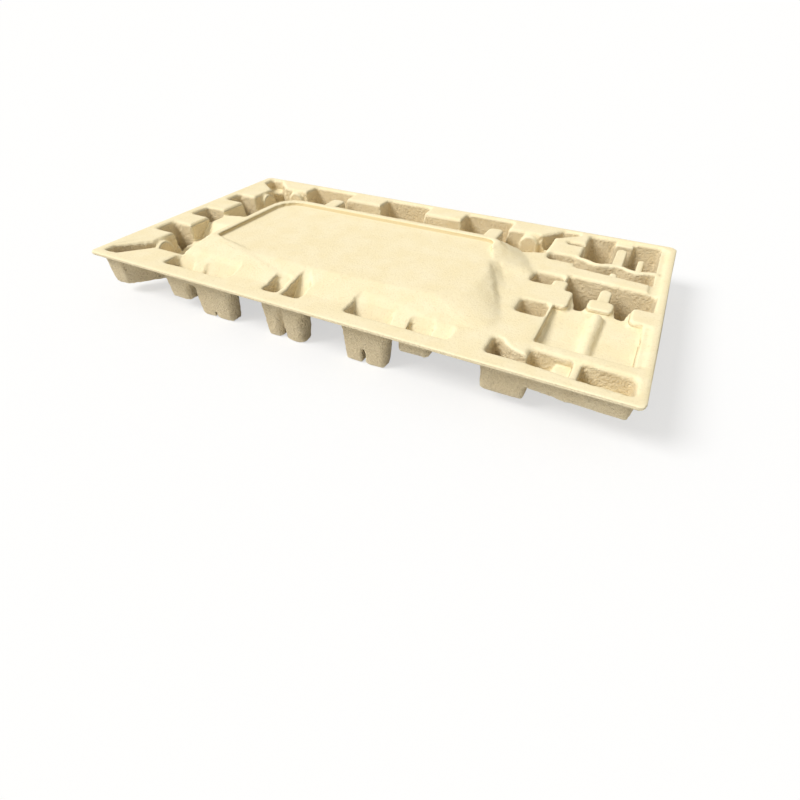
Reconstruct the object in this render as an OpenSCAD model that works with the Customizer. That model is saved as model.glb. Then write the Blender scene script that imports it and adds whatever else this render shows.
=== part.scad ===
// Moulded pulp packing tray: one thin wall of even thickness, pressed into pockets that stand as feet,
// round a raised platform with a U-shaped lip. X runs along the long side and +Z is up.
// The origin is under the middle of the rim, on the surface that the feet stand on.

/* [Tray] */
// Length of the rim along X
tray_w = 600; // [585:5:640]
// Depth of the rim along Y
tray_d = 325; // [318:1:345]
// Radius of the rim's corners in plan
rim_r = 6; // [4:1:12]
// Height of the rim's top face above the feet
rim_h = 52; // [48:1:60]
// Thickness of the moulded wall
wall = 4; // [3:0.5:5]
// Draft of the pocket walls, in degrees
draft = 5; // [3:0.5:7]
// Rounding at the mouth of a pocket
mouth_r = 2; // [1:0.5:3]
// Radius of the upright corners of a pocket
corner_r = 5; // [3:0.5:6]

/* [Flange] */
// Width of the flange at the left end
flange_left = 12; // [9:1:15]
// Width of the flange at the right end
flange_right = 9; // [7:1:12]
// Width of the flange along the near side
flange_near = 18; // [14:1:20]
// Width of the flange along the far side
flange_far = 8; // [6:1:11]

/* [Platform] */
// Height of the lip above the rim
lip_h = 13; // [11:0.5:15]
// Width of the top of the lip
lip_w = 8; // [6:0.5:11]
// How far the outer edge of the lip is rounded off
lip_flare = 4; // [2:0.5:5]
// Radius of the lip's outer corner at the far left
lip_r = 30; // [24:1:36]
// Radius of the lip's outer corner at the far right
lip_end_r = 20; // [14:1:24]
// Height of the sunk panel above the rim
panel_h = 9; // [7:0.5:10]
// Radius of the panel's far left corner
panel_r = 25; // [15:1:30]
// Radius of the panel's far right corner
panel_end_r = 10; // [8:1:14]
// Radius of the panel's near left corner
panel_near_r = 7; // [4:1:10]
// Distance from the left edge of the tray to the platform's top
platform_left = 112; // [108:1:116]
// Distance from the far edge of the tray to the platform's top
platform_far = 100; // [97:1:104]
// Width of the sloping flank at the platform's right end
flank_w = 44; // [40:1:50]
// Lean of the outer flanks of the platform below the rim, in degrees
flank_lean = 12; // [8:1:15]
// Distance from the near edge to the foot of the near slope, left part
slope_near_left = 28; // [24:1:34]
// Distance from the near edge to the foot of the near slope, right part
slope_near_right = 42; // [38:1:48]

/* [Moat] */
// Depth of the moat round the platform's left and far sides
moat_depth = 27; // [24:1:32]
// Width of the blocks between the left pockets
block_left = 30; // [26:1:34]
// Width of the blocks between the far pockets
block_far = 25; // [23:1:28]
// Radius of the half-round bosses on the inner faces of the blocks
boss_r = 12; // [9:1:13]
// Depth of the tops of the bosses below the rim
boss_drop = 3; // [1:0.5:6]
// How far the bosses stand out from the blocks
boss_out = 4; // [3:0.5:6]
// Depth of the middle spur below the rim, where it meets the left blocks
spur_drop = 7.5; // [5:0.5:11]

/* [Near feet] */
// Depth of the shorter feet of the near side, inside
foot_a_depth = 36; // [30:1:40]
// Depth of the bridge between the first two feet, inside
bridge_depth = 14; // [10:1:18]
// Depth of the mid foot of the near side, inside
foot_e_depth = 21; // [18:1:28]
// Depth of the shallow stretch of the wide near pocket
shallow_depth = 9; // [7:1:12]
// Lean of the upper part of the far walls of the near pockets, in degrees
brow_lean = 38; // [32:1:40]
// Height of that leaning part
brow_h = 16; // [14:1:17]
// Distance from the near edge to the far walls of the near pockets, at the rim
reach = 43; // [41:1:45]

/* [Right section] */
// Distance from the right edge of the tray to where the right section begins
section_w = 135; // [132:1:138]
// Depth of the pockets of the middle row
middle_depth = 27; // [22:1:32]
// Depth of the pockets along the near edge
near_depth = 20; // [16:1:26]
// Thickness of the wavy rib
rib_w = 6; // [5:0.5:7]
// Height of the waves of the rib, from side to side
rib_wave = 7; // [4:0.5:8]
// Depth of the cradle at its far side
cradle_far_depth = 4; // [3:0.5:6]
// Depth of the cradle at its lowest
cradle_depth = 10; // [8:0.5:13]
// Half the width of the ridge along the cradle
ridge_r = 6.5; // [5.5:0.5:8]
// Depth of the ledge inside the right flange
ledge_depth = 2.5; // [2:0.5:4]

/* [Hidden] */
$fn = 12;
thin = 0.2;
over = 1;
xl = -tray_w / 2;
xr = tray_w / 2;
yn = -tray_d / 2;
yf = tray_d / 2;
foot_depth = rim_h - wall;
x_in = xl + flange_left;
x_out = xr - flange_right;
y_in = yn + flange_near;
y_out = yf - flange_far;
moat_x = x_in + block_left;
moat_y = y_out - block_far;
moat_near = yn + 44;
platform_x = xl + platform_left;
platform_y = yf - platform_far;
section_x = xr - section_w;
platform_end = section_x - flank_w;
// Where the level top of the near slope begins, and where the lip begins at its left end
mesa_y = yn + 68;
lip_y = yn + 78;
// Where the lip begins to fade at its right end, and the crest where it has faded out
lip_end_y = yf - 117;
crest = [platform_end + 4, yf - 158];
// Far edge of the level field between the platform and the right section
field_y = platform_y + 15;
// Where the left pockets begin along Y and the far pockets along X, and how long they are
left_pockets = [[yn + 86, 28], [yn + 146, 28], [yn + 213, 25]];
far_pockets = [[xl + 95, 70], [xl + 220, 68], [section_x - 124, 65]];
// Where the double feet of the near side begin
foot_b_x = xl + 140;
foot_d_x = section_x - 135;
// Left and right sides of the deep pockets of the right section, and the line of their dividers
row_left = xr - 97;
row_right = xr - 15;
mid_x = xr - 56;
// Lines of the right section along Y: the wavy rib, the middle row, the cell and the cradle
rib_y = yf - 84;
middle_y = [yf - 172, yf - 136];
cell_y = [yf - 229, yf - 202];
cradle_y = [yn + 53, yf - 169];

// Plan outlines

module box(x0, x1, y0, y1, r = corner_r) {
    translate([x0 + r, y0 + r])
        offset(r = r) square([x1 - x0 - 2 * r, y1 - y0 - 2 * r]);
}

module rounded(points, r = corner_r) {
    offset(r = r) offset(delta = -r) polygon(points);
}

// A circle of radius r with its centre at x, y
module disc(x, y, r) {
    translate([x, y]) circle(r);
}

// One level of a drafted form: the outline grown by `grow`, as a thin plate on height z
module level(z, grow) {
    translate([0, 0, z]) linear_extrude(thin) offset(delta = grow) children();
}

// The same, just under height z, for the tops of raised forms
module crown(z, grow) {
    level(z - thin, grow) children();
}

// A pocket sunk from the rim, and a boss rising to `top` under the rim. `g` is 0 for the upper skin
// of the wall, and the wall's thickness for the lower skin.

module pocket(depth, g, lean = draft) {
    brim = g > 0 ? over : -mouth_r;
    hull() {
        level(brim, g) children();
        level(-depth - g, g - depth * tan(lean)) children();
    }
    if (g == 0)
        hull() {
            level(over, mouth_r + over) children();
            level(brim, 0) children();
        }
}

module boss(top, depth, g, lean = draft) {
    hull() {
        crown(top - g, -g) children();
        level(-depth - g - over, (depth + top) * tan(lean) - g) children();
    }
}

// Moat and blocks round the platform

module moat(g) {
    pocket(moat_depth, g) box(moat_x, platform_x + corner_r, moat_near, moat_y);
    pocket(moat_depth, g) far_moat();
    for (p = left_pockets)
        pocket(foot_depth, g) box(x_in, moat_x + 2 * corner_r, p[0], p[0] + p[1]);
    for (p = far_pockets)
        pocket(foot_depth, g) box(p[0], p[0] + p[1], moat_y - 2 * corner_r, y_out);
    pocket(bridge_depth, g) far_left_slot();
    pocket(moat_depth, g) far_left_throat();
    pocket(foot_a_depth, g) near_left_slot();
    pocket(moat_depth, g) far_right_slot();
}

module far_moat() {
    rounded([[moat_x, platform_y - corner_r], [platform_end - corner_r, platform_y - corner_r],
        [platform_end + corner_r, field_y], [section_x, field_y], [section_x, moat_y], [moat_x, moat_y]]);
}

// Slot from the far left corner of the rim to the moat: a shallow end and a deep throat
module far_left_slot() {
    rounded([[x_in, yf - 24], [x_in + 20, yf - 40], [x_in + 33, yf - 28], [x_in + 20, y_out],
        [x_in, y_out]], 3);
}

module far_left_throat() {
    rounded([[moat_x - 18, moat_y + 4], [moat_x - 2, moat_y - 14], [moat_x + 14, moat_y + 1],
        [moat_x - 3, moat_y + 18]], 3);
}

// Slot from the near left corner of the rim to the moat
module near_left_slot() {
    rounded([[x_in, yn + 12], [x_in + 19, yn + 13], [x_in + 24, y_in], [x_in + 28, yn + 30],
        [x_in + 38, yn + 41], [x_in + 52, yn + 48], [moat_x - 1, yn + 56], [x_in + 21, yn + 37],
        [x_in, yn + 25]], 2);
}

module far_right_slot() {
    rounded([[section_x - 18, moat_y - 2], [section_x, moat_y - 2], [section_x + 26, y_out - 6],
        [section_x + 26, y_out], [section_x + 5, y_out]], 2);
}

module moat_bosses(g) {
    // Half-round bosses on the blocks at both ends of the left side and of the far side
    for (y = [yn + 64, yf - 64])
        translate([moat_x, y, 0]) rotate([90, 0, 90]) arch(g);
    for (x = [xl + 78, section_x - 30])
        translate([x, moat_y, 0]) rotate([90, 0, 0]) arch(g);
    // Tongues that run out from the platform towards the far pockets
    for (x = [xl + 150, section_x - 81])
        boss(0, moat_depth, g) box(x, x + 18, platform_y - 20, moat_y - 8, 4);
    // Low round nose on the platform's far side
    boss(0, moat_depth, g) disc(xl + 270, platform_y + corner_r, 30);
}

// A half-round boss that stands out from an upright face
module arch(g) {
    out = boss_out + moat_depth * tan(draft) - g;
    hull() {
        translate([0, -boss_drop - boss_r, -corner_r]) cylinder(h = corner_r + out, r = boss_r - g, $fn = 24);
        translate([g - boss_r, -moat_depth - g - over, -corner_r])
            cube([2 * (boss_r - g), over, corner_r + out]);
    }
}

// Spurs that run from the platform's left side to the faces of the left blocks
module spurs(g) {
    spur(yn + 147, yn + 176, -spur_drop, g);
    spur(yn + 100, yn + 122, 4 - moat_depth, g);
    spur(yn + 198, yn + 212, 6 - moat_depth, g);
}

module spur(y0, y1, top, g) {
    spread = (top + moat_depth) * 1.1 + 6;
    root = platform_x + 6;
    base = -moat_depth - g - over;
    hull() {
        translate([moat_x + g, y0 + g / 2, base]) cube([over, y1 - y0 - g, top + moat_depth + over]);
        translate([moat_x + g, y0 - spread + g / 2, base]) cube([over, y1 - y0 + 2 * spread - g, over]);
        translate([root, y0 - spread + g / 2, base]) cube([over, y1 - y0 + 2 * spread - g, over]);
        translate([root, y0 - 10 + g / 2, base]) cube([over, y1 - y0 + 14 - g, moat_depth + over]);
    }
}

// Platform

// Outline of the lip's outer edge
module lip_top() {
    hull() {
        disc(platform_x + lip_r, platform_y - lip_r, lip_r);
        disc(platform_end - 3 - lip_end_r, platform_y - lip_end_r, lip_end_r);
        disc(platform_end - 3 - corner_r, lip_end_y + corner_r, corner_r);
        disc(platform_x + 6, 6, 6);
    }
}

// Outline of the level top, as high as the panel
module mesa_top() {
    rounded([[platform_x + 3, mesa_y], [0, mesa_y], [platform_end - 14, mesa_y + 6],
        [platform_end, mesa_y + 26], [platform_end, platform_y - lip_end_r],
        [platform_end - lip_end_r, platform_y - 3], [platform_x + lip_r, platform_y - 3],
        [platform_x + 3, platform_y - lip_r]], 8);
}

module mesa_foot() {
    rounded([[platform_x - 9, yn + slope_near_left], [0, yn + slope_near_left],
        [platform_end + 5, yn + slope_near_right], [platform_end + 5, platform_y - 25],
        [platform_end - 20, platform_y - 1], [platform_x + lip_r, platform_y - 1],
        [platform_x - 5, platform_y - lip_r - 3]], 4);
}

// The near left corner of the slope, which goes on down into the moat
module mesa_corner() {
    rounded([[platform_x - 9, moat_near - 6], [platform_x + lip_r, moat_near - 6],
        [platform_x + lip_r, lip_w], [platform_x - 4, lip_w]], 3);
}

// Left leg of the lip, which fades out round the panel's near left corner
module leg_top() {
    box(platform_x, platform_x + 2 * lip_w, lip_y, platform_y - lip_r);
}

module leg_foot() {
    rounded([[platform_x - 9, yn + slope_near_left], [0, yn + slope_near_left], [0, 0],
        [platform_x - 5, 0]], 4);
}

// Right end: a broad slope on the near side, and a nose with a gentle wedge on the far side

module slope_top() {
    rounded([[0, mesa_y], [platform_end - 19, mesa_y + 5], [platform_end + 2, mesa_y + 18],
        [platform_end + 9, mesa_y + 35], [platform_end + 6, crest[1] - 20], crest, [0, crest[1]]], 1.5);
}

module slope_foot() {
    rounded([[0, yn + slope_near_right], [section_x - 10, yn + slope_near_right + 3],
        [section_x + 1, yn + slope_near_right + 8], [section_x + 3, yn + slope_near_right + 20],
        [section_x, mesa_y + 9], [crest[0] + 6, crest[1]], [0, crest[1]]], 1.5);
}

module nose_top() {
    rounded([[platform_end - 30, lip_end_y], [platform_end - 4, lip_end_y],
        [platform_end - 4, platform_y - 12], [platform_end - 13, platform_y - 3],
        [platform_end - 30, platform_y - 3]], 3);
}

module nose_crest() {
    polygon([crest - [16, 0], crest, crest + [-4, 26], [platform_end - 30, lip_end_y]]);
}

module nose_foot() {
    rounded([[platform_end - 3, crest[1] - 12], [section_x - 14, crest[1] - 46], [section_x, crest[1] - 44],
        [section_x + 3, crest[1] + 6], [section_x, 25], [section_x - 8, 43], [section_x - 26, field_y - 6],
        [platform_end + corner_r, field_y - 2], [platform_end - 2, platform_y]], 3);
}

// Outline of the sunk panel, closed by the lip on the left and far sides, and open to the near side
module panel() {
    left = platform_x + lip_w;
    far = platform_y - lip_w;
    fade = [left + 58, mesa_y + 3];
    hull() {
        disc(left + panel_r, far - panel_r, panel_r);
        disc(platform_end - 9 - panel_end_r, far - panel_end_r, panel_end_r);
        disc(platform_end - 9 - panel_end_r, lip_end_y - 5, panel_end_r);
        disc(left + panel_near_r, lip_y + 3 + panel_near_r, panel_near_r);
        disc(fade[0], fade[1] + 1, 1);
    }
    polygon([fade, [fade[0] + 40, yn + slope_near_left], [section_x + 10, yn + slope_near_left],
        [section_x + 10, crest[1] - 10], [crest[0] + 2, crest[1]], [platform_end - 9, lip_end_y - 6],
        [platform_end - 30, lip_end_y]]);
}

module platform(g) {
    foot = -g - 2 * thin;
    base = -moat_depth - g - over;
    spread = moat_depth * tan(flank_lean) - g;
    difference() {
        union() {
            hull() {
                crown(panel_h - g, -g) mesa_top();
                level(foot, -g / 2) mesa_foot();
            }
            hull() {
                crown(lip_h - g, -g) leg_top();
                level(foot, -g / 2) leg_foot();
            }
            hull() {
                crown(panel_h - g, -g) slope_top();
                level(foot, -g / 2) slope_foot();
            }
            hull() {
                crown(lip_h - g, -g) nose_top();
                crown(panel_h - g, -g) nose_crest();
                level(foot, -g / 2) nose_foot();
            }
            hull() {
                crown(lip_h - g, -g) lip_top();
                level(lip_h - g - lip_flare - over, lip_flare - g) lip_top();
                level(base, lip_flare + spread) lip_top();
            }
            hull() {
                level(foot, -g) mesa_corner();
                level(base, spread) mesa_corner();
            }
        }
        translate([0, 0, panel_h - g]) linear_extrude(lip_h) offset(delta = g) panel();
    }
}

// Pockets that stand as feet along the near side

// A foot behind the near flange, whose far wall leans back and then drops
module near_foot(x, length, depth, g, to = reach) {
    shoulder = yn + to - brow_h * tan(brow_lean);
    shift = depth * tan(draft);
    hull() {
        level(lip_h, g) box(x, x + length, y_in, yn + to + lip_h * tan(brow_lean), 3);
        level(-brow_h - g, g) box(x + 1, x + length - 1, y_in + 1, shoulder, 3);
    }
    hull() {
        level(over - brow_h, g) box(x + 1, x + length - 1, y_in + 1, shoulder, 3);
        level(-depth - g, g) box(x + shift, x + length - shift, y_in + 2, shoulder - 1, 2);
    }
}

// The trough that joins the feet, sloping up from the near flange
module trough(x, length, depth, run, g) {
    hull() {
        level(lip_h, g) box(x, x + length, y_in, yn + reach - 1 + lip_h * run / depth);
        level(-depth - g, g) box(x + 1, x + length - 1, y_in + 1, yn + reach - run, 2);
    }
}

// The slanting foot, a slot that fades out up the slope
module slot_foot(x, length, g) {
    hull() {
        level(lip_h, g) rounded([[x, y_in], [x + length, y_in], [x + length, yn + 50], [x + 6, yn + 68],
            [x, yn + 68]], 2);
        level(-brow_h - g, g) box(x + 1, x + length - 1, y_in + 1, yn + 33, 3);
    }
    hull() {
        level(over - brow_h, g) box(x + 1, x + length - 1, y_in + 1, yn + 33, 3);
        level(-foot_depth - g, g) box(x + 4, x + length - 4, y_in + 2, yn + 32, 2);
    }
}

module near_pockets(g) {
    trough(foot_b_x - 43, 90, bridge_depth, 17, g);
    near_foot(foot_b_x - 42, 28, foot_a_depth, g);
    near_foot(foot_b_x, 46, foot_depth, g);
    near_foot(xl + 233, 19, foot_depth, g, reach + 3);
    slot_foot(xl + 257, 22, g);
    trough(foot_d_x - 1, 107, shallow_depth, 19, g);
    near_foot(foot_d_x, 45, foot_depth, g);
    near_foot(foot_d_x + 61, 26, foot_e_depth, g);
}

// Webs that stand on the floors of the double feet and part their lobes
module foot_webs(g) {
    foot_web(foot_b_x + 22, 9, g);
    foot_web(foot_d_x + 22, 17, g);
}

module foot_web(x, height, g) {
    boss(height - foot_depth, foot_depth, g) box(x - 4.5, x + 4.5, y_in - over, yn + reach + corner_r, 2);
}

// Right section

module far_row(g) {
    pocket(foot_depth, g) box(row_left, row_right, rib_y, y_out);
    pocket(bridge_depth, g) hull() {
        disc(row_left - 16, yf - 42, 5);
        disc(row_left, yf - 42, 4.5);
    }
    pocket(middle_depth, g) box(section_x + 5, row_left + 2, rib_y - 14, rib_y + 5);
    pocket(middle_depth + 3, g)
        rounded([[row_left - 1, rib_y - 23], [row_right, rib_y - 31], [row_right, rib_y + 4],
            [row_left - 1, rib_y + 4]]);
}

module middle_row(g) {
    near = middle_y[0];
    far = middle_y[1];
    pocket(middle_depth, g) box(section_x + 3, row_left - 3, near + 11, far, 4);
    pocket(foot_depth, g) rounded([[row_left, near], [x_out, near], [x_out, far], [row_left, far + 6]], 3);
    for (x = [mid_x - 19, mid_x + 19])
        pocket(middle_depth, g)
            polygon([[x - 10, near + 3], [x - 4, near - 20], [x + 4, near - 20], [x + 10, near + 3]]);
    pocket(middle_depth, g) box(section_x + 7, row_left - 3, cell_y[0], cell_y[1], 4);
}

// Shallow curved bed, deepest near its near side, and the narrow ledge beside it
module cradle(g) {
    near = cradle_y[0];
    far = cradle_y[1];
    hull()
        for (x = [row_left - g, row_right + g])
            translate([x - thin / 2, 0, 0]) rotate([90, 0, 90]) linear_extrude(thin) offset(delta = g)
                polygon([[far, over + g], [far, -cradle_far_depth], [far - 33, -cradle_far_depth],
                    [near + 22, -cradle_depth], [near + 8, -cradle_depth], [near, -cradle_far_depth - 2],
                    [near - 2, over + g]]);
}

module ledge(g) {
    pocket(ledge_depth, g) box(row_right - 3, x_out, yf - 272, yf - 13, 2);
}

module cradle_ridge(g) {
    sink = ridge_r / 2 - over;
    hull() {
        translate([mid_x, cradle_y[1] - 35, -cradle_far_depth - sink]) sphere(ridge_r - g / 2);
        translate([mid_x, cradle_y[0] + 7, -cradle_depth - sink]) sphere(ridge_r - g / 2);
    }
}

// Long pocket along the near edge, with a crescent-shaped foot at its left end
module near_row(g) {
    difference() {
        pocket(foot_a_depth, g) box(section_x + 5, row_left + 5, y_in, yn + 43, 3);
        translate([row_left + 2, yn + 58, -foot_depth - g])
            cylinder(h = foot_depth + over + g, r1 = 30 + foot_depth * tan(draft) - g, r2 = 30 - g, $fn = 48);
    }
    pocket(near_depth, g) rounded([[row_left + 1, y_in], [mid_x, y_in - 4], [x_out - over, y_in - 6],
        [x_out - over, yn + 37], [row_left + 1, yn + 40]], 4);
}

// Rib that wavers between the far pockets and the slanting ones, as thick as the wall is on both sides
module wavy_rib(g) {
    steps = 12;
    for (i = [0 : steps - 1])
        hull() {
            rib_post(i / steps, g);
            rib_post((i + 1) / steps, g);
        }
}

module rib_post(u, g) {
    r = rib_w / 2 - g;
    if (r > 0)
        translate([row_left + (row_right - row_left) * u, rib_y - 4 * u + rib_wave / 2 * cos(720 * u),
            -foot_depth - g]) cylinder(h = foot_depth, r1 = r + foot_depth * tan(draft) / 2, r2 = r);
}

module section_bosses(g) {
    // Ridges across the far row
    boss(-4, foot_depth, g) box(mid_x - 5.5, mid_x + 5.5, rib_y, yf - 26, 4.5);
    boss(-12, foot_depth, g) box(mid_x + 20, mid_x + 27, rib_y, yf - 26, 3);
    boss(-3, foot_depth, g) box(mid_x - 10, mid_x + 10, y_out - 8, y_out + over, 2);
    // Tabs on the slanting rib and on the level field
    boss(-2, foot_depth, g) box(mid_x - 3.5, mid_x + 3.5, rib_y - 29, rib_y - 16, 3);
    boss(0, foot_depth, g) box(row_left - 12, row_left + 3, middle_y[0], middle_y[1] - 12, 4);
    boss(0, foot_depth, g) box(section_x + 1, row_left + 12, cell_y[1] + over, middle_y[0] + 4, 4);
    // Rounded block in the middle, with a ridge behind it, and the tab on the right flange
    boss(0, foot_depth, g) box(mid_x - 12, mid_x + 11, cell_y[1] + 9, middle_y[0] - 2, 4);
    boss(-2, foot_depth, g) box(mid_x - 5.5, mid_x + 5.5, middle_y[0] - 4, middle_y[1] - 8, 5);
    boss(0, foot_depth, g) box(mid_x + 28, xr - over, cell_y[1] + over, middle_y[0] - 2, 4);
    // Low rounded hump and thin bar in the near row
    boss(-9, near_depth, g, 25) disc(mid_x - 8, yn + 32, 10);
    boss(-3, near_depth, g) box(mid_x - 3, mid_x + 3, y_in - 8, yn + 41, 2);
}

// The solid under one skin of the tray

module ground(g) {
    beyond = g > 0 ? 2 * wall : 0;
    translate([0, 0, -rim_h - beyond - over]) linear_extrude(rim_h + beyond + over - g)
        box(xl - beyond, xr + beyond, yn - beyond, yf + beyond, rim_r);
}

module under_skin(g) {
    difference() {
        union() {
            difference() {
                ground(g);
                moat(g);
            }
            platform(g);
            spurs(g);
            moat_bosses(g);
        }
        near_pockets(g);
        far_row(g);
        middle_row(g);
        cradle(g);
        ledge(g);
        near_row(g);
    }
    foot_webs(g);
    wavy_rib(g);
    section_bosses(g);
    cradle_ridge(g);
}

module tray() {
    color("wheat") translate([0, 0, rim_h]) difference() {
        under_skin(0);
        under_skin(wall);
    }
}

tray();
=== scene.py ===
"""Moulded pulp packing tray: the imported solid's wall with pressed-fibre edges, grain and colour."""

import math

import bpy
import numpy as np
from mathutils import Matrix, Vector, noise
from mathutils.bvhtree import BVHTree


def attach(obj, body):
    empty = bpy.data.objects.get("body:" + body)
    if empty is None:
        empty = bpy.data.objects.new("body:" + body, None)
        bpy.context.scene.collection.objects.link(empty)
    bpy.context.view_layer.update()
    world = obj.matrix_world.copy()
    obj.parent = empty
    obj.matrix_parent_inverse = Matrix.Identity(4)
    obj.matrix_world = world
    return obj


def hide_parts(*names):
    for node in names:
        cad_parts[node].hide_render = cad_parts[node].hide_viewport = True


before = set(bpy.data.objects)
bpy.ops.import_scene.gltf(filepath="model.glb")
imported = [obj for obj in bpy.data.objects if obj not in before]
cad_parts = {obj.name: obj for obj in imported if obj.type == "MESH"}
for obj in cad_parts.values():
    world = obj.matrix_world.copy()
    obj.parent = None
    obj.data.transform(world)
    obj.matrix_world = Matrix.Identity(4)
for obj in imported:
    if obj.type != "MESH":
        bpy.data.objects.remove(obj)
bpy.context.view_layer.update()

# Height of the rim's top over the floor, and the wall's thickness
RIM_HEIGHT = 0.052
WALL = 0.004

# Size of the remeshed wall's cells and the most triangles it may have
VOXEL = 0.0015
TRIANGLES = 190000
# Rounds of smoothing: over the nose, at the feet's bottoms, and everywhere
NOSE_ROUNDS, FEET_ROUNDS, ALL_ROUNDS = 22, 12, 3
FEET_TOP, FEET_FADE = 0.008, 0.012

# Slits that part the lobes of the double feet: middle along X, and height
SLITS = [(0.052, 0.0165), (-0.138, 0.0085)]
SLIT_Y, SLIT_WIDTH, SLIT_DEPTH = -0.137, 0.005, 0.018
SLIT_OVERLAP = 0.002

# The nose: the box round the slopes at the panel's right end, each with its lowest, highest and fade
NOSE_X = (0.122, 0.166, 0.008)
NOSE_Y = (-0.112, 0.054, 0.010)
NOSE_Z = (0.049, 0.059, 0.003)
# The level field that runs in beside the nose: a point on the foot of each slope round it, and how far
# that foot moves along one axis for each metre along the other
FIELD_LEFT, FIELD_LEFT_TURN = (0.138, -0.016), -0.413
FIELD_FAR, FIELD_FAR_TURN = (0.1326, 0.0034), 0.237
FIELD_LEFT_SHIFT, FIELD_LEFT_FADE, FIELD_FAR_FADE = 0.008, 0.016, 0.012
FIELD_NEAR_Y, FIELD_RIGHT_X = -0.2, 0.18

# How far the surface wavers on a flat, and on walls and underneath, and its waves to the metre
FLAT_WAVER, WALL_WAVER = 0.0002, 0.0007
WIDE_WAVES, WIDE_SHARE = 90, 0.7
FINE_WAVES, FINE_SHARE, FINE_OFFSET = 240, 0.9, Vector((7, 3, 5))

# What the vertex values are measured against
EDGE_GAIN = 1.6
DEEP_POCKET = 0.04
LIP_LOW, LIP_HIGH, LIP_FADE = RIM_HEIGHT + 0.0096, RIM_HEIGHT + 0.0120, 0.0005
LIP_SLOPE, LIP_SLOPE_FADE = 0.45, 0.25

# The photograph's camera: azimuth and elevation of the view, its roll, and the focal length in pixels
AZIMUTH, ELEVATION, ROLL = 26.755, 40.043, 0.434
FOCAL_PIXELS, FRAME_PIXELS, SENSOR = 488.06, 800, 36.0
CAMERA_FROM_RIM = Vector((0.260355, -0.479676, 0.230278))
CAMERA_NEAREST, CAMERA_FURTHEST = 0.01, 100

# Studio light and floor
SUN_ENERGY, SUN_ANGLE, SUN_COLOUR = 2.75, 25, (1.0, 0.99, 0.97)
SUN_TRAVEL = Vector((0.58, 0.44, -0.68))
ROOM_COLOUR, ROOM_STRENGTH = (1.0, 0.97, 0.90, 1), 0.48
WHITE = (1, 1, 1, 1)
FLOOR_COLOUR, FLOOR_GLOW = (0.93, 0.94, 0.96, 1), 0.6
FLOOR_RADIUS, FLOOR_DROP = 30, 0.0003


def srgb(r, g, b):
    """A colour written as 0 to 255, as Blender's linear values."""
    def linear(c):
        c /= 255
        return c / 12.92 if c <= 0.04045 else ((c + 0.055) / 1.055) ** 2.4
    return (linear(r), linear(g), linear(b), 1)


# Colours of the dry pulp: two that mottle the level faces and two that mottle the walls, darker partly
# for the coarser fibre and partly as painted shade, then painted shade for deep pockets, dark fibres,
# pale grains, painted shade on the lip's inner side, a painted highlight on outer edges and painted shade
# in inner corners
LEVEL_COLOURS = srgb(247, 233, 193), srgb(250, 238, 203)
WALL_FIBRE_AND_SHADE_COLOURS = srgb(238, 220, 181), srgb(245, 229, 193)
DEEP_SHADE_COLOUR = srgb(222, 204, 170)
FIBRE_COLOUR = srgb(196, 172, 130)
GRAIN_COLOUR = srgb(255, 248, 224)
LIP_SHADE_COLOUR = srgb(214, 190, 136)
EDGE_HIGHLIGHT_COLOUR = srgb(255, 245, 210)
CORNER_SHADE_COLOUR = srgb(190, 164, 118)


# Pressed fibre: the wall's mesh

def apply_modifiers(obj):
    bpy.context.view_layer.objects.active = obj
    for other in bpy.context.selected_objects:
        other.select_set(False)
    obj.select_set(True)
    for modifier in list(obj.modifiers):
        bpy.ops.object.modifier_apply(modifier=modifier.name)


def slit_cutter(middle, height):
    """A thin block that opens a slit from the floor up, at the front of a double foot."""
    place = (middle, SLIT_Y, (height - SLIT_OVERLAP) / 2)
    bpy.ops.mesh.primitive_cube_add(size=1, location=place)
    cutter = bpy.context.object
    cutter.scale = (SLIT_WIDTH, SLIT_DEPTH, height + SLIT_OVERLAP)
    return cutter


def cut_slits(obj):
    for middle, height in SLITS:
        cutter = slit_cutter(middle, height)
        cut = obj.modifiers.new("slit", "BOOLEAN")
        cut.operation = "DIFFERENCE"
        cut.solver = "EXACT"
        cut.object = cutter
        apply_modifiers(obj)
        bpy.data.objects.remove(cutter)


def remesh(obj):
    modifier = obj.modifiers.new("remesh", "REMESH")
    modifier.mode = "VOXEL"
    modifier.voxel_size = VOXEL
    apply_modifiers(obj)


def band(value, low, high, fade):
    """1 between low and high, falling to 0 over the width `fade` outside them."""
    return max(0.0, min(1.0, (value - low) / fade + 1, (high - value) / fade + 1))


def nose(place):
    """1 on the slopes at the panel's right end, where its forms run into each other."""
    return band(place.x, *NOSE_X) * band(place.y, *NOSE_Y) * band(place.z, *NOSE_Z)


def feet(place):
    """1 at the bottoms of the feet."""
    return band(place.z, -1, FEET_TOP, FEET_FADE)


def level_field(x, y):
    """1 where the field between the nose and the flank is level, in plan."""
    left = FIELD_LEFT[0] + FIELD_LEFT_TURN * (y - FIELD_LEFT[1]) + FIELD_LEFT_SHIFT
    far = FIELD_FAR[1] + FIELD_FAR_TURN * (x - FIELD_FAR[0])
    beside_nose = band(x, left, FIELD_RIGHT_X, FIELD_LEFT_FADE)
    return beside_nose * band(y, FIELD_NEAR_Y, far, FIELD_FAR_FADE) if x < FIELD_RIGHT_X else 0.0


def press_field(mesh):
    """Presses the level field in between the nose and the flank, up to the corner where they meet."""
    tops = [vertex.normal.z > 0 for vertex in mesh.vertices]
    for vertex, top in zip(mesh.vertices, tops):
        x, y, z = vertex.co
        field = RIM_HEIGHT if top else RIM_HEIGHT - WALL
        if z > field:
            vertex.co.z = field + (z - field) * (1 - level_field(x, y))


def weigh(obj, name, rule):
    """Makes the vertex group `name`, with each vertex weighted by what `rule` says of its place."""
    group = obj.vertex_groups.new(name=name)
    for vertex in obj.data.vertices:
        weight = rule(vertex.co)
        if weight > 0:
            group.add([vertex.index], weight, "REPLACE")


def smooth(obj, iterations, group=""):
    modifier = obj.modifiers.new("smooth", "SMOOTH")
    modifier.factor = 0.5
    modifier.iterations = iterations
    modifier.vertex_group = group
    apply_modifiers(obj)


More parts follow.
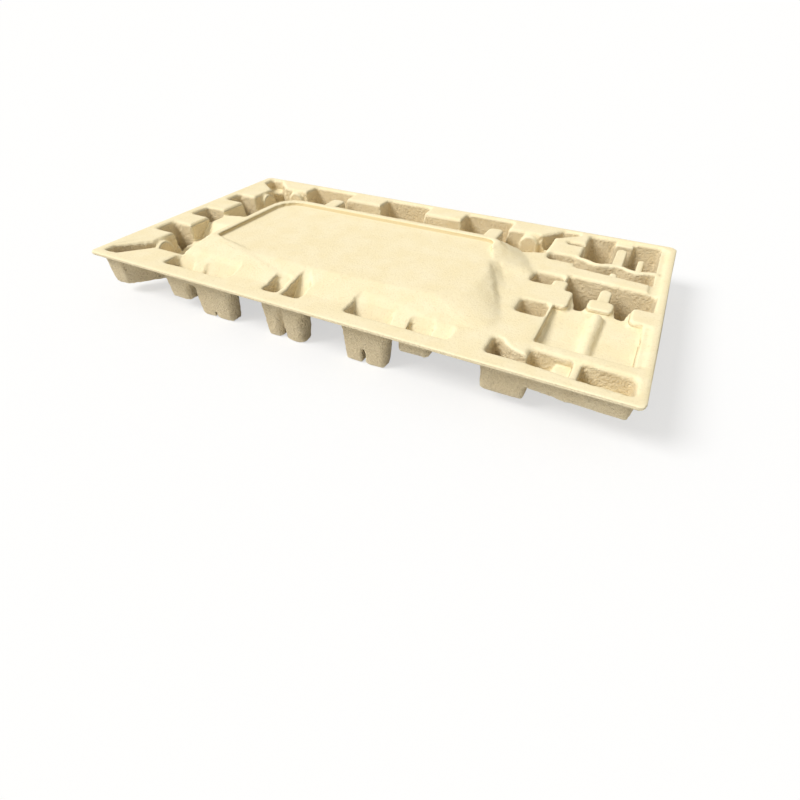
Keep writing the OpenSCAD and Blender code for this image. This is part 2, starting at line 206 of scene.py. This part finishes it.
def thin_out(obj):
    """Brings the mesh down to the triangles it may have."""
    faces = sum(len(polygon.vertices) - 2 for polygon in obj.data.polygons)
    modifier = obj.modifiers.new("decimate", "DECIMATE")
    modifier.ratio = min(1.0, TRIANGLES / faces)
    apply_modifiers(obj)


def waver(mesh):
    """Moves the surface in and out by less than a millimetre, most of all on the walls and underneath."""
    moves = []
    for vertex in mesh.vertices:
        flat = max(0.0, vertex.normal.z) ** 4
        size = FLAT_WAVER * flat + WALL_WAVER * (1 - flat)
        wide = noise.noise(vertex.co * WIDE_WAVES)
        fine = noise.noise(vertex.co * FINE_WAVES + FINE_OFFSET)
        moves.append(vertex.co + vertex.normal * size * (WIDE_SHARE * wide + FINE_SHARE * fine))
    for vertex, place in zip(mesh.vertices, moves):
        vertex.co = place


def pulp_mesh():
    """The tray as one closed mesh whose edges are rounded, as the screen of a pulp mould leaves them."""
    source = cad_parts["tray"]
    obj = bpy.data.objects.new("pulp_tray", source.data.copy())
    obj.data.materials.clear()
    bpy.context.scene.collection.objects.link(obj)
    cut_slits(obj)
    remesh(obj)
    press_field(obj.data)
    weigh(obj, "nose", nose)
    weigh(obj, "feet", feet)
    smooth(obj, NOSE_ROUNDS, "nose")
    smooth(obj, FEET_ROUNDS, "feet")
    smooth(obj, ALL_ROUNDS)
    thin_out(obj)
    mark_edges(obj.data)
    waver(obj.data)
    mark_faces(obj.data)
    for polygon in obj.data.polygons:
        polygon.use_smooth = True
    return obj


# Values written on the vertices, which the material reads

def write_value(mesh, name, values):
    mesh.attributes.new(name, "FLOAT", "POINT").data.foreach_set("value", values)


def neighbour_sum(values, first, second):
    """Each vertex's sum of `values` over the vertices that an edge joins it to."""
    total = np.zeros(len(values))
    np.add.at(total, first, values[second])
    np.add.at(total, second, values[first])
    return total


def mark_edges(mesh):
    """Writes `edge`: 0.5 on flat parts, towards 1 on outer edges and towards 0 in inner corners; the
    material turns it into a painted highlight on outer edges and painted shade in inner corners.
    """
    count = len(mesh.vertices)
    places, normals = np.empty(count * 3), np.empty(count * 3)
    mesh.vertices.foreach_get("co", places)
    mesh.vertices.foreach_get("normal", normals)
    places, normals = places.reshape(-1, 3), normals.reshape(-1, 3)
    ends = np.empty(len(mesh.edges) * 2, dtype=np.int32)
    mesh.edges.foreach_get("vertices", ends)
    first, second = ends.reshape(-1, 2).T
    step = places[second] - places[first]
    length = np.maximum(np.linalg.norm(step, axis=1), 1e-9)
    bend = np.zeros(count)
    np.add.at(bend, first, -(step * normals[first]).sum(1) / length)
    np.add.at(bend, second, (step * normals[second]).sum(1) / length)
    share = np.maximum(neighbour_sum(np.ones(count), first, second), 1)
    bend /= share
    for _ in range(2):
        bend = 0.5 * bend + 0.5 * neighbour_sum(bend, first, second) / share
    write_value(mesh, "edge", np.clip(0.5 + bend * EDGE_GAIN, 0, 1).astype(np.float32))


def painted_lip_shade(vertex):
    """1 on the lip's inner side, which faces the near side or the right end, where shade is painted."""
    slope = max(vertex.normal.x, -vertex.normal.y)
    return band(vertex.co.z, LIP_LOW, LIP_HIGH, LIP_FADE) * band(slope, LIP_SLOPE, 2.0, LIP_SLOPE_FADE)


def mark_faces(mesh):
    """Writes four values a vertex: `face` is 1 on the side pressed against the mould and 0 underneath,
    `deep` runs from 0 at the rim to 1 at the bottom of a deep pocket and sets painted shade, `flat` is 1
    on level faces, and
    `lip` is 1 on the inner side of the platform's lip, where shade is painted."""
    vertices = mesh.vertices
    tree = BVHTree.FromPolygons([v.co for v in vertices], [tuple(p.vertices) for p in mesh.polygons])
    up = Vector((0, 0, 1))
    start = 0.0006
    covered = [tree.ray_cast(v.co + v.normal * start, up)[0] for v in vertices]
    write_value(mesh, "face", [0.0 if hit else 1.0 for hit in covered])
    write_value(mesh, "deep", [min(1.0, max(0.0, (RIM_HEIGHT - v.co.z) / DEEP_POCKET)) for v in vertices])
    write_value(mesh, "flat", [max(0.0, v.normal.z) for v in vertices])
    write_value(mesh, "lip", [painted_lip_shade(v) for v in vertices])


# Material

class Nodes:
    """Short ways to add and join shader nodes."""

    def __init__(self, material):
        material.use_nodes = True
        self.tree = material.node_tree
        self.tree.nodes.clear()

    def set_input(self, socket, value):
        if isinstance(value, bpy.types.NodeSocket):
            self.tree.links.new(value, socket)
        else:
            socket.default_value = value

    def add(self, kind, inputs=None, **settings):
        node = self.tree.nodes.new(kind)
        for key, value in settings.items():
            setattr(node, key, value)
        for key, value in (inputs or {}).items():
            self.set_input(node.inputs[key], value)
        return node

    def noise(self, vector, scale, detail, roughness):
        return self.add("ShaderNodeTexNoise", {"Vector": vector, "Scale": scale, "Detail": detail,
                                               "Roughness": roughness}).outputs["Fac"]

    def span(self, value, low, high, to_low=0.0, to_high=1.0):
        return self.add("ShaderNodeMapRange", {"Value": value, "From Min": low, "From Max": high,
                                               "To Min": to_low, "To Max": to_high}).outputs["Result"]

    def maths(self, operation, a, b):
        return self.add("ShaderNodeMath", {0: a, 1: b}, operation=operation).outputs[0]

    def blend(self, factor, a, b):
        return self.add("ShaderNodeMix", {0: factor, 6: a, 7: b}, data_type="RGBA").outputs[2]

    def attribute(self, name):
        return self.add("ShaderNodeAttribute", attribute_name=name).outputs["Fac"]

    def camera_ray(self):
        return self.add("ShaderNodeLightPath").outputs["Is Camera Ray"]


def pulp_colour(n, pattern, mark, steep):
    """Pale on level faces, with a painted highlight on outer edges; darker on walls (coarser fibre and
    painted shade), with painted shade down in pockets, on the lip's inner side and in inner corners.
    """
    level = n.blend(n.span(pattern["mottle"], 0.35, 0.65), *LEVEL_COLOURS)
    wall = n.blend(n.span(pattern["mottle"], 0.3, 0.7), *WALL_FIBRE_AND_SHADE_COLOURS)
    # walls darker than level faces: partly the coarser fibre, partly painted shade by steepness
    colour = n.blend(steep, level, wall)
    # painted shade: darker the deeper down a pocket the surface lies
    colour = n.blend(n.span(mark["deep"], 0.35, 1.0, 0.0, 0.4), colour, DEEP_SHADE_COLOUR)
    colour = n.blend(n.span(pattern["fibre"], 0.30, 0.46, 0.22, 0.0), colour, FIBRE_COLOUR)
    colour = n.blend(n.span(pattern["grain"], 0.60, 0.75, 0.0, 0.30), colour, GRAIN_COLOUR)
    # painted shade on the lip's inner side
    colour = n.blend(n.maths("MULTIPLY", mark["lip"], 0.7), colour, LIP_SHADE_COLOUR)
    # painted highlight along outer edges
    colour = n.blend(n.span(mark["edge"], 0.56, 0.80, 0.0, 0.8), colour, EDGE_HIGHLIGHT_COLOUR)
    # painted shade in inner corners
    return n.blend(n.span(mark["edge"], 0.20, 0.44, 0.35, 0.0), colour, CORNER_SHADE_COLOUR)


def pulp_height(n, pattern, mark, steep):
    """Nearly smooth on level faces, coarse on walls, and coarsest underneath, where no mould pressed."""
    rough = n.maths("MAXIMUM", steep, n.span(mark["face"], 0.0, 1.0, 1.9, 0.0))
    lumps = n.maths("MULTIPLY", pattern["lumps"], 0.8)
    fibre = n.maths("MULTIPLY", pattern["fibre"], 1.3)
    coarse = n.maths("MULTIPLY", n.maths("ADD", lumps, fibre), n.span(rough, 0.0, 2.0, 0.16, 1.9))
    return n.maths("ADD", coarse, n.maths("MULTIPLY", pattern["grain"], 0.16))


def pulp_material():
    material = bpy.data.materials.new("pulp")
    n = Nodes(material)
    place = n.add("ShaderNodeTexCoord").outputs["Object"]
    mark = {name: n.attribute(name) for name in ("face", "deep", "flat", "edge", "lip")}
    pattern = {"mottle": n.noise(place, 45.0, 4.0, 0.6), "lumps": n.noise(place, 210.0, 5.0, 0.7),
               "fibre": n.noise(place, 420.0, 4.0, 0.65), "grain": n.noise(place, 900.0, 3.0, 0.6)}
    steep = n.span(mark["flat"], 0.15, 0.55, 1.0, 0.0)
    height = pulp_height(n, pattern, mark, steep)
    bump = n.add("ShaderNodeBump", {"Height": height, "Strength": 1.0, "Distance": 0.0016})
    shader = n.add("ShaderNodeBsdfPrincipled", {"Base Color": pulp_colour(n, pattern, mark, steep),
                                                "Roughness": 0.9, "Specular IOR Level": 0.25,
                                                "Normal": bump.outputs["Normal"]})
    n.add("ShaderNodeOutputMaterial", {"Surface": shader.outputs["BSDF"]})
    return material


# Floor, light and camera

def floor_material():
    """Matt and pale, and partly glowing white where the camera sees it straight."""
    material = bpy.data.materials.new("floor")
    n = Nodes(material)
    matt = n.add("ShaderNodeBsdfDiffuse", {"Color": FLOOR_COLOUR})
    glow = n.add("ShaderNodeEmission", {"Color": WHITE, "Strength": 1.0})
    part = n.maths("MULTIPLY", n.camera_ray(), FLOOR_GLOW)
    mixed = n.add("ShaderNodeMixShader", {0: part, 1: matt.outputs[0], 2: glow.outputs[0]})
    n.add("ShaderNodeOutputMaterial", {"Surface": mixed.outputs[0]})
    return material


def floor():
    bpy.ops.mesh.primitive_circle_add(vertices=64, radius=FLOOR_RADIUS, fill_type="NGON",
                                      location=(0, 0, -FLOOR_DROP))
    obj = bpy.context.object
    obj.name = "floor"
    obj.data.materials.append(floor_material())


def room():
    """An even room that lights the tray softly, and that the camera sees as white."""
    world = bpy.data.worlds.new("studio")
    bpy.context.scene.world = world
    n = Nodes(world)
    lit = n.add("ShaderNodeBackground", {"Color": ROOM_COLOUR, "Strength": ROOM_STRENGTH})
    seen = n.add("ShaderNodeBackground", {"Color": WHITE, "Strength": 1.0})
    mixed = n.add("ShaderNodeMixShader", {0: n.camera_ray(), 1: lit.outputs[0], 2: seen.outputs[0]})
    n.add("ShaderNodeOutputWorld", {"Surface": mixed.outputs[0]})


def sun():
    lamp = bpy.data.lights.new("key", "SUN")
    lamp.energy = SUN_ENERGY
    lamp.angle = math.radians(SUN_ANGLE)
    lamp.color = SUN_COLOUR
    key = bpy.data.objects.new("key", lamp)
    key.rotation_euler = SUN_TRAVEL.to_track_quat("-Z", "Y").to_euler()
    bpy.context.scene.collection.objects.link(key)


def camera():
    """The camera that the photograph was taken with, worked out from the rim's vanishing points."""
    azimuth, elevation, roll = (math.radians(v) for v in (AZIMUTH, ELEVATION, ROLL))
    ahead = Vector((-math.sin(azimuth) * math.cos(elevation), math.cos(azimuth) * math.cos(elevation),
                    -math.sin(elevation)))
    level = Vector((math.cos(azimuth), math.sin(azimuth), 0))
    above = level.cross(ahead)
    right = level * math.cos(roll) + above * math.sin(roll)
    up = above * math.cos(roll) - level * math.sin(roll)
    data = bpy.data.cameras.new("camera")
    data.sensor_width = SENSOR
    data.lens = FOCAL_PIXELS / FRAME_PIXELS * SENSOR
    data.clip_start = CAMERA_NEAREST
    data.clip_end = CAMERA_FURTHEST
    obj = bpy.data.objects.new("camera", data)
    pose = Matrix((right, up, -ahead)).transposed().to_4x4()
    pose.translation = CAMERA_FROM_RIM + Vector((0, 0, RIM_HEIGHT))
    obj.matrix_world = pose
    bpy.context.scene.collection.objects.link(obj)
    bpy.context.scene.camera = obj


def build():
    tray = pulp_mesh()
    tray.data.materials.append(pulp_material())
    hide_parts("tray")
    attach(tray, "root")
    floor()
    room()
    sun()
    camera()
    bpy.context.scene.view_settings.view_transform = "Standard"


build()
